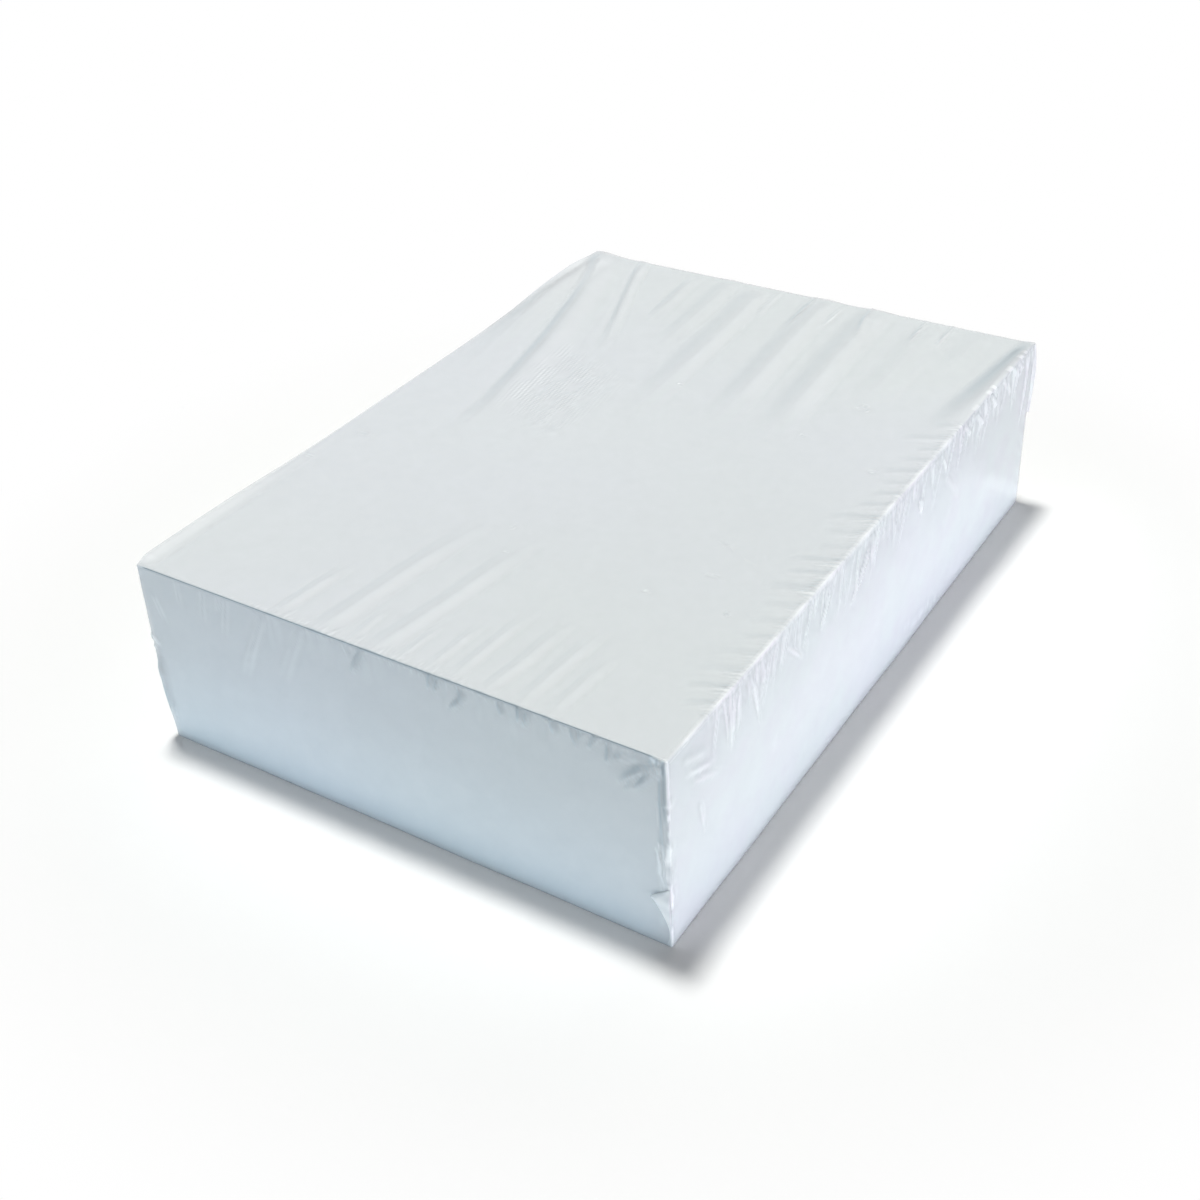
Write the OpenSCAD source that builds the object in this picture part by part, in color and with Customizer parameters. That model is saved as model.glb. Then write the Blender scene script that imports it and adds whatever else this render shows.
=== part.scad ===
// Ream of paper: five hundred A5 sheets in one tight, clear shrink film.
// The origin is at the middle of the underside. +X runs along the short edge,
// +Y along the long edge towards the far end, and +Z is up through the sheets.

/* [Sheets] */
// Short edge of a sheet
sheet_w = 148; // [120:1:220]
// Long edge of a sheet
sheet_l = 210; // [170:1:300]
// Number of sheets in the ream
sheet_count = 500; // [400:50:700]
// Thickness of one sheet
sheet_t = 0.106; // [0.09:0.002:0.13]

/* [Film] */
// Thickness of the film
film_t = 0.05; // [0.02:0.01:0.1]
// Air between the sheets and the film where it lies tight
film_gap = 0.15; // [0.1:0.05:0.4]

/* [End folds] */
// Height of the folds that run in from the far end
far_fold_h = 0.8; // [0.2:0.1:1.2]
// Height of the folds that run in from the near end
near_fold_h = 0.6; // [0.2:0.1:1.2]
// How far the end folds carry over the edge and down the ends
fold_drop = 12; // [6:1:20]
// Height of the loose tents beside the long edges at the far end
tent_h = 1.9; // [0.5:0.1:2.5]

/* [Long edge puckers] */
// Number of puckers along the right long edge
pucker_count = 36; // [24:1:38]
// Height of a pucker
pucker_h = 0.6; // [0.1:0.1:0.9]
// Reach of the puckers in over the top
pucker_in = 7; // [4:1:9]
// Reach of the puckers down the side
pucker_down = 24; // [14:1:34]

/* [Loose film at the corners] */
// How far the film stands off the near left upright edge
swell_h = 1.3; // [0.3:0.1:2]
// How far the film stands off the far left upright edge
far_swell_h = 1.9; // [0.3:0.1:2.5]
// Length of loose film along the left side, from each corner
swell_l = 60; // [30:1:80]
// How far the fin at the far right upright edge stands out
fin_h = 2.6; // [1:0.1:3.5]
// Length of that fin, down from the top
fin_l = 20; // [12:1:30]

/* [Pleat at the near right corner] */
// Width of the pleat that laps over the near end
pleat_w = 3; // [2:0.1:5]
// Height of the pleat's step
pleat_h = 0.35; // [0.1:0.05:0.6]
// How far the ear under the pleat stands off the near end
ear_h = 0.9; // [0.3:0.1:1.5]
// Height of the ear's tip above the underside
ear_z = 13.5; // [9:0.5:18]
// Length of the ear from its tip up to where the pleat begins
ear_l = 5.5; // [4:0.5:8]

/* [Vent] */
// Hole in the underside that lets the air out as the film shrinks
vent_d = 3; // [2:0.5:6]
// Distance of the vent from the middle, towards the near end
vent_in = 60; // [20:1:75]

/* [Hidden] */

half_w = sheet_w / 2;
half_l = sheet_l / 2;
stack_h = sheet_count * sheet_t;
bottom_z = film_t;
top_z = bottom_z + stack_h;
// Length of the pleat, from the top down to the ear
upright_l = stack_h - ear_z - ear_l;

// Folds of the ends: share of the half width where each starts at the edge and where
// it runs out, its length, its half width, and its height as a share of the fold height.
far_folds = [
    [-0.83, -0.70, 62, 3.5, 0.7],
    [-0.75, -0.52, 60, 3.2, 1.1],
    [-0.49, -0.44, 34, 4.0, 0.7],
    [-0.31, -0.28, 50, 4.5, 0.8],
    [-0.14, -0.10, 62, 5.0, 0.8],
    [0.13, 0.19, 62, 5.0, 1.0],
    [0.33, 0.40, 62, 5.0, 1.0],
    [0.55, 0.58, 28, 3.2, 0.8],
    [0.67, 0.68, 20, 3.2, 0.6],
    [0.82, 0.77, 60, 6.0, 0.6]
];
near_folds = [
    [-0.42, -0.37, 28, 3.5, 0.8],
    [-0.25, -0.14, 50, 4.5, 1.1],
    [-0.03, 0.05, 48, 4.5, 1.1],
    [0.17, 0.17, 20, 3.5, 0.7],
    [0.29, 0.30, 26, 3.5, 0.8],
    [0.41, 0.41, 30, 3.5, 0.8],
    [0.53, 0.53, 28, 3.5, 0.7]
];
// The tents beside the long edges, in the same form, as shares of the tent height
tents = [
    [-0.96, -0.84, 90, 6.5, 1.0],
    [0.97, 0.95, 60, 4.0, 0.65]
];

// Share of a fold's height left at the edge, and the distance in where it is whole
edge_share = 0.35;
rise_in = 9;

// The skin is a stack of closed rings of stations. The rings on the top step in from the
// edges, and those on the sides step down from the top.
ring_in_x = [15, 10, 6, 3, 0.8];
ring_in_y = [64, 40, 20, 7, 0.8];
ring_corner = [3, 2, 1.4, 0.9, 0.5];
pleat_step = 0.5;
ear_reach = 2.4;
corner_steps = [0, 0.45 * pleat_w, pleat_w, pleat_w + pleat_step, pleat_w + ear_reach];
side_steps = [40, 2 * pucker_count, 44, 10];
foot_in = 0.8;
vent_sides = 8;

// Each side of the ream, anticlockwise from the near end: the way it runs, the way it
// faces and its length.
side_way = [[1, 0], [0, 1], [-1, 0], [0, -1]];
side_face = [[0, -1], [1, 0], [0, 1], [-1, 0]];
side_len = [sheet_w, sheet_l, sheet_w, sheet_l];
NEAR = 0;
RIGHT = 1;
FAR = 2;
LEFT = 3;

function bump(s) = abs(s) < 1 ? (1 + cos(180 * s)) / 2 : 0;
function fade(d, reach) = d < reach ? pow(1 - pow(d / reach, 2), 2) : 0;
// Folds are pulled nearly flat where they cross the edge and stand up behind it
function rise(d) = edge_share + (1 - edge_share) * min(1, d / rise_in);
function mix(a, b, t) = a + (b - a) * min(1, max(0, t));
function total(v, i = 0) = i < len(v) ? v[i] + total(v, i + 1) : 0;

// Height of a set of folds at x, a distance d in from their end
function folds_at(folds, x, d) = total([
    for (f = folds) f[4] * rise(d) * fade(d, f[2])
        * bump((x - half_w * mix(f[0], f[1], d / f[2])) / f[3])
]);

// How far a place is along the side between its two sets of corner steps, from 0 to 1
function along(side, u) =
    let (edge = corner_steps[4] / side_len[side]) (u - edge) / (1 - 2 * edge);
// Distance to the corner at the start of a side, and to the one at its end
function from_start(side, u) = u * side_len[side];
function from_end(side, u) = (1 - u) * side_len[side];

// Puckers along the right long edge, stronger and weaker in slow waves
function pucker(u) =
    let (s = along(RIGHT, u), wave = 0.7 + 0.2 * sin(1150 * s) + 0.1 * sin(2300 * s + 40))
    s < 0 || s > 1 ? 0 : pucker_h * wave * (0.5 - 0.5 * cos(360 * pucker_count * s));

// Stand-off of the film over the top of the stack
function over_top(side, u, x, y) =
    far_fold_h * folds_at(far_folds, x, half_l - y)
    + near_fold_h * folds_at(near_folds, x, half_l + y)
    + tent_h * folds_at(tents, x, half_l - y)
    + (side == RIGHT ? pucker(u) * fade(half_w - x, pucker_in) : 0);

// The pleat is a flat lap beside the corner, and the ear below it a loose triangle
function pleat_at(e, drop) =
    e > pleat_w || drop > upright_l ? 0 : pleat_h;
function ear_at(e, drop) =
    let (up = stack_h - drop - ear_z)
    ear_h * max(0, 1 - abs(up) / ear_l) * (e < corner_steps[4] ? 1 : 0);

// Loose film round an upright corner, at a distance e from it
function corner_swell(h, e, drop) =
    h * bump(e / 14) * (0.35 + 0.65 * sin(180 * min(1, drop / stack_h)));
function fin_at(e, drop, diagonal) =
    fade(drop, fin_l) * fin_h * (diagonal ? 1 : 0.3 * bump(e / 5));

// Stand-off of the film from each side of the stack, a distance drop below the top
function off_near(u, drop, x) =
    near_fold_h * folds_at(near_folds, x, 0) * fade(drop, fold_drop)
    + pleat_at(from_end(NEAR, u), drop)
    + ear_at(from_end(NEAR, u), drop)
    + corner_swell(swell_h, from_start(NEAR, u), drop);
function off_right(u, drop, diagonal) =
    pucker(u) * fade(drop, pucker_down)
    + fin_at(from_end(RIGHT, u), drop, diagonal);
function off_far(u, drop, x, diagonal) =
    far_fold_h * folds_at(far_folds, x, 0) * fade(drop, fold_drop)
    + fin_at(from_start(FAR, u), drop, diagonal)
    + corner_swell(far_swell_h, from_end(FAR, u), drop);
function off_left(u, drop) =
    far_swell_h * bump((from_start(LEFT, u) - 18) / swell_l) * fade(drop, stack_h)
    + corner_swell(far_swell_h, from_start(LEFT, u), drop) * 0.4
    + swell_h * bump(from_end(LEFT, u) / swell_l) * fade(drop, stack_h) * 0.5
    + corner_swell(swell_h, from_end(LEFT, u), drop);
function off_side(side, u, drop, x, diagonal) =
    side == NEAR ? off_near(u, drop, x)
    : side == RIGHT ? off_right(u, drop, diagonal)
    : side == FAR ? off_far(u, drop, x, diagonal)
    : off_left(u, drop);

// Stations round a side as shares of its length, close together at both corners
function side_shares(side) =
    let (n = side_steps[side], size = side_len[side], edge = corner_steps[4] / size)
    concat(
        [for (s = corner_steps) s / size],
        [for (i = [1 : n - 1]) edge + (1 - 2 * edge) * i / n],
        [for (i = [4 : -1 : 0]) 1 - corner_steps[i] / size]
    );
// All stations: side, share of its length, and whether it is the corner's diagonal
stations = [
    for (side = [NEAR : LEFT])
        each concat([for (u = side_shares(side)) [side, u, false]], [[side, 1, true]])
];
station_n = len(stations);

// Distance from the middle of a side for a share of -1 to 1, on a ring that ends short of
// the side's own ends: square to the edge over most of it, and drawn in near the corners
function drawn_in(share, half, short) =
    short == 0 ? half * share
    : half * share * (1 - short / half * pow(abs(share), 0.6 * (half / short - 1)));

// Place of a station in plan on a ring that lies in_x and in_y inside the sheets' edges,
// with its corners cut back by r
function plan(s, in_x, in_y, r) =
    let (
        side = s[0],
        across = side == NEAR || side == FAR,
        half = side_len[side] / 2,
        in_along = across ? in_x : in_y,
        in_deep = across ? in_y : in_x,
        deep = side_face[side] * ((across ? half_l : half_w) - in_deep)
    )
    s[2] ? deep + side_way[side] * (half - in_along) - 0.3 * r * (side_face[side] + side_way[side])
    : deep + side_way[side] * drawn_in(2 * s[1] - 1, half, in_along + r);

// The way a station faces in plan: square to its side, or between two at a corner
function facing(s) =
    s[2] ? (side_face[s[0]] + side_way[s[0]]) / sqrt(2) : side_face[s[0]];

// Rings of the skin, skin being 0 for its inner face and film_t for its outer one
function top_ring(i, skin) = [
    for (s = stations)
        let (p = plan(s, ring_in_x[i], ring_in_y[i], ring_corner[i]))
        [p[0], p[1], top_z + film_gap + skin + over_top(s[0], s[1], p[0], p[1])]
];
function edge_ring(skin) = [
    for (s = stations)
        let (
            p = plan(s, 0, 0, 0),
            high = over_top(s[0], s[1], p[0], p[1]),
            out = off_side(s[0], s[1], 0, p[0], s[2]),
            reach = (film_gap + skin + (high + out) / 2) / sqrt(2),
            q = p + facing(s) * reach
        )
        [q[0], q[1], top_z + reach]
];
function side_ring(drop, skin) = [
    for (s = stations)
        let (
            p = plan(s, 0, 0, 0),
            q = p + facing(s) * (film_gap + skin + off_side(s[0], s[1], drop, p[0], s[2]))
        )
        [q[0], q[1], top_z - drop]
];
function foot_ring(skin) = [
    for (s = stations)
        let (p = plan(s, foot_in, foot_in, foot_in)) [p[0], p[1], bottom_z - skin]
];
function vent_ring(skin) = [
    for (k = [0 : vent_sides - 1])
        let (a = 360 * k / vent_sides)
        [vent_d / 2 * cos(a), vent_d / 2 * sin(a) - vent_in, bottom_z - skin]
];

side_drops = concat([for (share = [0, 0.15, 0.38, 0.7, 1]) share * upright_l], [stack_h - ear_z, stack_h]);
function skin_rings(skin) = concat(
    [for (i = [0 : len(ring_in_x) - 1]) top_ring(i, skin)],
    [edge_ring(skin)],
    [for (drop = side_drops) side_ring(drop, skin)],
    [foot_ring(skin)]
);
ring_n = len(ring_in_x) + 1 + len(side_drops) + 1;

// Which side of the vent a station of the foot ring is stitched to
function vent_index(i) =
    let (p = plan(stations[i % station_n], foot_in, foot_in, foot_in), a = atan2(p[1] + vent_in, p[0]))
    (round(a * vent_sides / 360) + vent_sides) % vent_sides;

// Two triangles between station i of one ring and the next
function band(first, second, i) =
    let (j = (i + 1) % station_n, a = first + i, b = first + j, c = second + j, d = second + i)
    [[a, b, c], [a, c, d]];
function vent_band(foot, vent, i) =
    let (a = foot + i, b = foot + (i + 1) % station_n, c = vent + vent_index(i + 1), d = vent + vent_index(i))
    c == d ? [[a, b, c]] : [[a, b, c], [a, c, d]];

// The clear film: one skin round the whole stack, with a face towards the sheets and one
// away from them that meet only round the vent
module shrink_film() {
    middle_z = top_z + film_gap;
    outer = skin_rings(film_t);
    inner = skin_rings(0);
    points = concat(
        [[0, 0, middle_z + film_t]],
        [for (r = outer) each r],
        vent_ring(film_t),
        [[0, 0, middle_z]],
        [for (r = inner) each r],
        vent_ring(0)
    );
    outer_vent = 1 + ring_n * station_n;
    inner_top = outer_vent + vent_sides;
    inner_first = inner_top + 1;
    inner_vent = inner_first + ring_n * station_n;
    outer_faces = concat(
        [for (i = [0 : station_n - 1]) [0, 1 + (i + 1) % station_n, 1 + i]],
        [for (r = [0 : ring_n - 2], i = [0 : station_n - 1])
            each band(1 + r * station_n, 1 + (r + 1) * station_n, i)],
        [for (i = [0 : station_n - 1])
            each vent_band(1 + (ring_n - 1) * station_n, outer_vent, i)]
    );
    // The inner face has the outer one's pattern, turned to face the sheets
    inner_faces = [
        for (f = outer_faces)
            [for (k = [2, 1, 0]) f[k] + inner_top]
    ];
    vent_wall = [
        for (k = [0 : vent_sides - 1])
            let (n = (k + 1) % vent_sides)
            each [
                [outer_vent + k, outer_vent + n, inner_vent + n],
                [outer_vent + k, inner_vent + n, inner_vent + k]
            ]
    ];
    color([0.86, 0.92, 0.95, 0.35])
        polyhedron(points = points, faces = concat(outer_faces, inner_faces, vent_wall));
}

// The sheets, squared up and pressed into one block that rests on the film
module paper_block() {
    color([0.93, 0.94, 0.95])
        translate([-half_w, -half_l, bottom_z])
            cube([sheet_w, sheet_l, stack_h]);
}

paper_block();
shrink_film();
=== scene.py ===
"""A ream of A5 paper in tight, clear shrink film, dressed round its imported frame.

The sheets and the film are shaped in millimetres and turned into metres as they are finished. X runs
across the sheets, Y along them from the near end to the far end, and Z up from the floor.
"""

import random

import bmesh
import bpy
import numpy as np
from mathutils import Matrix, Vector

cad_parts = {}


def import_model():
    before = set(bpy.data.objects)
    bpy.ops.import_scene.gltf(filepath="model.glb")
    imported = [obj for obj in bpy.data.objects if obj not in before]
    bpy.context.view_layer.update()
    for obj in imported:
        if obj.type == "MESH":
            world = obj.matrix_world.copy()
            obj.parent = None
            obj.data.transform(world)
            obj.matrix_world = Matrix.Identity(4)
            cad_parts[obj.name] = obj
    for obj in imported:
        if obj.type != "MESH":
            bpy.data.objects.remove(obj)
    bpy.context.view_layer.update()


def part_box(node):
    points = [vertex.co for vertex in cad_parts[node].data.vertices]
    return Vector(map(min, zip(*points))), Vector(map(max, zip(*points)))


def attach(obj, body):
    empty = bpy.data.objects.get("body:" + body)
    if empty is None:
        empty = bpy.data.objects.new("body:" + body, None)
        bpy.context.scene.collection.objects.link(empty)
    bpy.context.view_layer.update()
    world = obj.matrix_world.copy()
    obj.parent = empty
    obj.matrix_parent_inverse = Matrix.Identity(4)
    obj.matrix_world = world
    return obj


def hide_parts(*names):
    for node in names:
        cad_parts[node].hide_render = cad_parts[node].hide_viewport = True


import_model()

MM = 0.001
TINY = 1e-3

# The block of sheets, measured from the frame
sheets_low, sheets_high = (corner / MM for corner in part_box("paper_block"))
HALF_W = sheets_high.x
HALF_L = sheets_high.y
TOP = sheets_high.z
BOTTOM = sheets_low.z

# The skin of film round it: its gap to the sheets, and how round its edges are
SKIN_GAP = 0.18
SKIN_ROUND = 0.42
FOOT_ROUND = 0.12
SKIN_W = HALF_W + SKIN_GAP
SKIN_L = HALF_L + SKIN_GAP
SKIN_TOP = TOP + SKIN_GAP
INNER_W = SKIN_W - SKIN_ROUND
INNER_L = SKIN_L - SKIN_ROUND
INNER_TOP = SKIN_TOP - SKIN_ROUND


# Profiles

def bump(s):
    """A round ridge over -1 to 1."""
    return np.where(np.abs(s) < 1, 0.5 + 0.5 * np.cos(np.pi * np.clip(s, -1, 1)), 0)


def crease(s):
    """A ridge over -1 to 1 with a sharp crest."""
    return np.clip(1 - np.abs(s), 0, 1) ** 2


def smooth(s):
    """Goes smoothly from 0 to 1 as s goes from 0 to 1."""
    s = np.clip(s, 0, 1)
    return s * s * (3 - 2 * s)


def along_line(inward, line):
    """The value at a distance inwards, from points given as (value, distance in)."""
    return np.interp(inward, [point[1] for point in line], [point[0] for point in line])


def stroke(u, v, start, end, width, height, sharp=False):
    """A short ridge that fades towards its end, on any two flat coordinates."""
    run = np.array(end, float) - np.array(start, float)
    length = np.hypot(*run)
    run /= length
    along = (u - start[0]) * run[0] + (v - start[1]) * run[1]
    across = (v - start[1]) * run[0] - (u - start[0]) * run[1]
    taper = smooth(along / (0.25 * length) + 0.5) * smooth((1.15 * length - along) / (0.65 * length))
    profile = crease(0.7 * across / width) if sharp else bump(0.75 * across / width)
    return height * profile * taper


# Where the skin is cut, and how finely

# Borders between its bands, and the pitch of the cuts in each
END_X = 60
FAR_Y = 0
NEAR_Y = -45
MIDDLE_Z = 26
COLUMN = 2
BAND_COLUMN = 0.8
ROW = 2.1
LOWER_ROW = 2.2
UPPER_ROW = 0.9
ROUNDING_SHARES = (0.25, 0.6, 1)

# Further cuts where there are fine folds
FOLD_CUTS = 3
PUCKER_CUTS = 4
RIM_CUTS = 2
SPECK_CUTS = 4
FOLD_DROP = 12
FOOT_STRIP = 3
RIM_STRIP = 6
PLEAT_FROM = 70
WRINKLE_PATCH = ((-48, -17), (-8, 46))
GROOVE_PATCH = (-34, 36)
LOW_NEAR_LOOPS = -85
LOW_MIDDLE_LOOPS = (15, 48)

# The small round vent in the underside, at x 0
VENT_D = 3
VENT_Y = -60

# Small crumples on the top: x, y, radius
SPECKS = (
    (47, 48, 1.6), (48.5, 46, 1.2), (46, 46, 1.0), (39, 26, 1.1), (63, 17, 1.3), (50, -43, 1.0),
    (40, -56, 1.0), (47, -30, 1.2), (55, -34, 0.9), (-3, -48, 1.0), (2, -58, 1.0), (60.5, -55, 1.1),
    (-4, 36, 1.0), (-66, -28, 1.2), (-72, -44, 1.3),
)
SPECK_H = 0.16
SPECK_REACH = 1.6


def by_a_speck(place):
    return any(abs(place.x - x) < SPECK_REACH * r and abs(place.y - y) < SPECK_REACH * r
               for x, y, r in SPECKS)


def runs_along(edge, axis):
    way = edge.verts[1].co - edge.verts[0].co
    return abs(way[axis]) > 0.9 * way.length


def lane(bm, axis, low, high, pitch):
    """Cuts the box evenly between two planes square to an axis."""
    edges = [e for e in bm.edges if runs_along(e, axis)
             and low < (e.verts[0].co[axis] + e.verts[1].co[axis]) / 2 < high]
    bmesh.ops.subdivide_edges(bm, edges=edges, cuts=round((high - low) / pitch) - 1)


def finer(bm, axis, cuts, test):
    """Cuts again, along an axis, the faces that pass a test of their middle and the way they face."""
    faces = [f for f in bm.faces if test(f.calc_center_median(), f.normal)]
    edges = {e for f in faces for e in f.edges if runs_along(e, axis)}
    bmesh.ops.subdivide_edges(bm, edges=list(edges), cuts=cuts)
    bm.normal_update()


def cut_borders(bm):
    """Cuts the box right round at the borders of its bands and where its edges round off."""
    borders = {0: [END_X], 1: [NEAR_Y, FAR_Y], 2: [MIDDLE_Z]}
    for axis, low, high in ((0, -SKIN_W, SKIN_W), (1, -SKIN_L, SKIN_L), (2, 0, SKIN_TOP)):
        for share in ROUNDING_SHARES:
            borders[axis] += [low + SKIN_ROUND * share, high - SKIN_ROUND * share]
        square = Vector((0, 0, 0))
        square[axis] = 1
        for place in borders[axis]:
            geom = bm.verts[:] + bm.edges[:] + bm.faces[:]
            bmesh.ops.bisect_plane(bm, geom=geom, plane_co=square * place, plane_no=square)


def cut_bands(bm):
    """Cuts each band into even rows and columns."""
    lane(bm, 0, -INNER_W, END_X, COLUMN)
    lane(bm, 0, END_X, INNER_W, BAND_COLUMN)
    lane(bm, 1, -INNER_L, NEAR_Y, ROW)
    lane(bm, 1, NEAR_Y, FAR_Y, ROW)
    lane(bm, 1, FAR_Y, INNER_L, ROW)
    lane(bm, 2, SKIN_ROUND, MIDDLE_Z, LOWER_ROW)
    lane(bm, 2, MIDDLE_Z, INNER_TOP, UPPER_ROW)
    bm.normal_update()


def has_end_folds(c, n):
    on_near = n.y < -0.5 and c.z > MIDDLE_Z
    on_far = n.y > 0.5 and c.z > INNER_TOP - FOLD_DROP
    on_top = n.z > 0.5 and not NEAR_Y < c.y < FAR_Y
    return abs(c.x) < INNER_W and c.x < END_X and (on_near or on_far or on_top)


def has_puckers(c, n):
    low_loops = c.y < LOW_NEAR_LOOPS or LOW_MIDDLE_LOOPS[0] < c.y < LOW_MIDDLE_LOOPS[1]
    on_right = n.x > 0.5 and (c.z > MIDDLE_Z or low_loops)
    on_top = n.z > 0.5 and c.x > END_X
    return abs(c.y) < INNER_L and (on_right or on_top)


def cut_fine_parts(bm):
    """Cuts again wherever the film has fine folds."""
    (x0, x1), (y0, y1) = WRINKLE_PATCH
    groove_x, groove_y = GROOVE_PATCH
    finer(bm, 0, FOLD_CUTS, has_end_folds)
    finer(bm, 0, 1, lambda c, n: n.z > 0.5 and x0 < c.x < x1 and y0 < c.y < y1)
    for left in (END_X, PLEAT_FROM):
        finer(bm, 0, 1, lambda c, n: n.y < -0.5 and left < c.x < INNER_W and c.z > FOOT_STRIP)
    finer(bm, 1, PUCKER_CUTS, has_puckers)
    finer(bm, 1, RIM_CUTS, lambda c, n: n.z > 0.5 and -INNER_L < c.y < -INNER_L + RIM_STRIP and c.x < END_X)
    finer(bm, 1, 1, lambda c, n: n.z > 0.5 and groove_y < c.y < INNER_L and -INNER_W < c.x < groove_x)
    finer(bm, 1, SPECK_CUTS, lambda c, n: n.z > 0.5 and c.x < END_X and by_a_speck(c))


def cut_vent(bm):
    """Opens the vent: takes out the faces round the nearest corner of faces, and rounds the rim."""
    vent = Vector((0, VENT_Y, 0))
    under = [v for v in bm.verts if v.co.z < TINY]
    middle = min(under, key=lambda v: (v.co - vent).length)
    hole = middle.link_faces[:]
    rim = {v for f in hole for v in f.verts} - {middle}
    at = middle.co.copy()
    bmesh.ops.delete(bm, geom=hole, context="FACES")
    for vert in rim:
        vert.co = at + (vert.co - at).normalized() * VENT_D / 2


def join_underside(bm):
    """Joins the flat faces of the underside into two, one on each side of the vent."""
    flat = [f for f in bm.faces if f.normal.z < -0.99
            and all(abs(v.co.x) < INNER_W + TINY and abs(v.co.y) < INNER_L + TINY for v in f.verts)]
    left = [f for f in flat if f.calc_center_median().x < 0]
    right = [f for f in flat if f.calc_center_median().x >= 0]
    for half in (right, left):
        bmesh.ops.dissolve_faces(bm, faces=half, use_verts=False)


def blank_skin():
    """A box of film, cut finely wherever it has folds."""
    bm = bmesh.new()
    bmesh.ops.create_cube(bm, size=1)
    bmesh.ops.scale(bm, vec=(2 * SKIN_W, 2 * SKIN_L, SKIN_TOP), verts=bm.verts)
    bmesh.ops.translate(bm, vec=(0, 0, SKIN_TOP / 2), verts=bm.verts)
    cut_borders(bm)
    cut_bands(bm)
    cut_fine_parts(bm)
    cut_vent(bm)
    join_underside(bm)
    return bm


# Folds of the two ends

# Folds that run in from the far end: points from the edge inwards as (x, distance in), the
# half widths to the left and right of the crest, the height, and whether the crest is sharp
FAR_FOLDS = (
    (((-57, 0), (-53.5, 11), (-43.8, 37), (-39, 50), (-35, 66)), 2.5, 3.2, 0.62, False),
    (((-71.5, 2), (-66, 15), (-60, 35), (-53, 62), (-49, 82), (-45, 104), (-43.5, 130)),
     4.6, 11, 1.3, False),
    (((-36, 6), (-33, 40)), 2.6, 4.0, 0.4, False),
    (((-24, 2), (-22.5, 25), (-21, 55)), 5.0, 5.0, 0.5, False),
    (((-12, 6), (-10, 30), (-8.5, 60), (-7, 92)), 7.5, 6.0, 0.75, False),
    (((-7, 3), (-5, 22)), 1.6, 1.8, 0.22, False),
    (((5, 1), (5.8, 24)), 1.3, 1.6, 0.35, True),
    (((9, 2), (11, 30), (13.5, 60), (16, 90)), 7.5, 6.5, 0.85, False),
    (((15, 5), (15.3, 18)), 1.4, 1.6, 0.3, True),
    (((23.5, 0), (25, 10), (28, 22)), 1.4, 2.6, 0.45, True),
    (((26, 2), (27.5, 35), (29.5, 60), (32, 92)), 7.5, 7.0, 0.85, False),
    (((41, 1), (42.5, 18)), 1.3, 1.8, 0.35, True),
    (((49.5, 0), (50, 17)), 1.2, 1.6, 0.32, True),
    (((44, 8), (46, 60)), 7.0, 8.0, 0.3, False),
    (((58, 3), (59, 30)), 5.0, 6.0, 0.22, False),
)
# The same for the near end
NEAR_FOLDS = (
    (((-31, 0), (-28, 27)), 2.4, 3.4, 0.45, False),
    (((-17.5, 0), (-14.5, 30), (-10.5, 60)), 4.4, 5.2, 0.65, False),
    (((-8.5, 3), (-9, 15)), 1.6, 2.0, 0.25, False),
    (((-2, 0), (2, 28), (4.5, 58)), 4.4, 5.0, 0.6, False),
    (((5.5, 3), (6, 16)), 1.5, 1.8, 0.25, False),
    (((13, 3), (14, 22)), 1.8, 2.4, 0.3, False),
    (((19.5, 2), (21, 30)), 2.2, 3.0, 0.4, False),
    (((28.5, 2), (30, 15), (30.5, 32)), 2.6, 3.4, 0.42, False),
    (((37.5, 2), (39, 33)), 2.6, 3.4, 0.4, False),
    (((45, 2), (46, 26)), 2.4, 3.2, 0.3, False),
)
# A fold that starts nearer the edge than this is there already, with a share of its height
FROM_EDGE = 3
EDGE_SHARE = 0.35
EDGE_RISE = 9
INNER_RISE = 8
FADE_SHARE = 0.45


def end_fold(x, inward, line, left, right, height, sharp):
    """Height of one fold at x, a distance inward from the end, or below the edge where negative."""
    start, reach = line[0][1], line[-1][1]
    crest = along_line(inward, line)
    across = (x - crest) / np.where(x < crest, left, right)
    profile = crease(across) if sharp else bump(across)
    if start < FROM_EDGE:
        rise = EDGE_SHARE + (1 - EDGE_SHARE) * smooth(inward / EDGE_RISE)
        rise = np.where(inward < 0, EDGE_SHARE * smooth(1 + inward / FOLD_DROP), rise)
    else:
        rise = smooth((inward - start) / INNER_RISE + 0.5)
    along = (inward - start) / (reach - start)
    return height * profile * rise * smooth((1 - along) / FADE_SHARE)


def end_folds(x, inward, folds):
    return sum(end_fold(x, inward, *fold) for fold in folds)


# The loose tents beside the left and right edges at the far end: the crest as (x, distance in), the
# half width on its left as (width, distance in) and on its right, the height, the share of it at the
# edge, how far in it is full, how far it reaches, and over what length it fades
FAR_TENTS = (
    (((-74, 0), (-73, 15), (-71.5, 35), (-68, 60), (-64, 90)), ((6, 0),), 9, 1.25, 0.25, 14, 100, 75),
    (((74.4, 0), (72.4, 45), (70.5, 70)), ((4.6, 0), (8, 50)), 6, 1.15, 0.3, 10, 68, 40),
)


def tent(x, inward, line, left, right, height, at_edge, full_at, reach, fade):
    crest = along_line(inward, line)
    across = (x - crest) / np.where(x < crest, along_line(inward, left), right)
    rise = at_edge + (1 - at_edge) * smooth(inward / full_at)
    return height * bump(across) * rise * smooth((reach - inward) / fade)


def far_tents(x, inward):
    return sum(tent(x, inward, *row) for row in FAR_TENTS)


# Small forms of the top

WRINKLE_X = -32
WRINKLE_PITCH = 1.15
WRINKLE_H = 0.105
ROLL_H = 0.9
ROLL_W = 5


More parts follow.
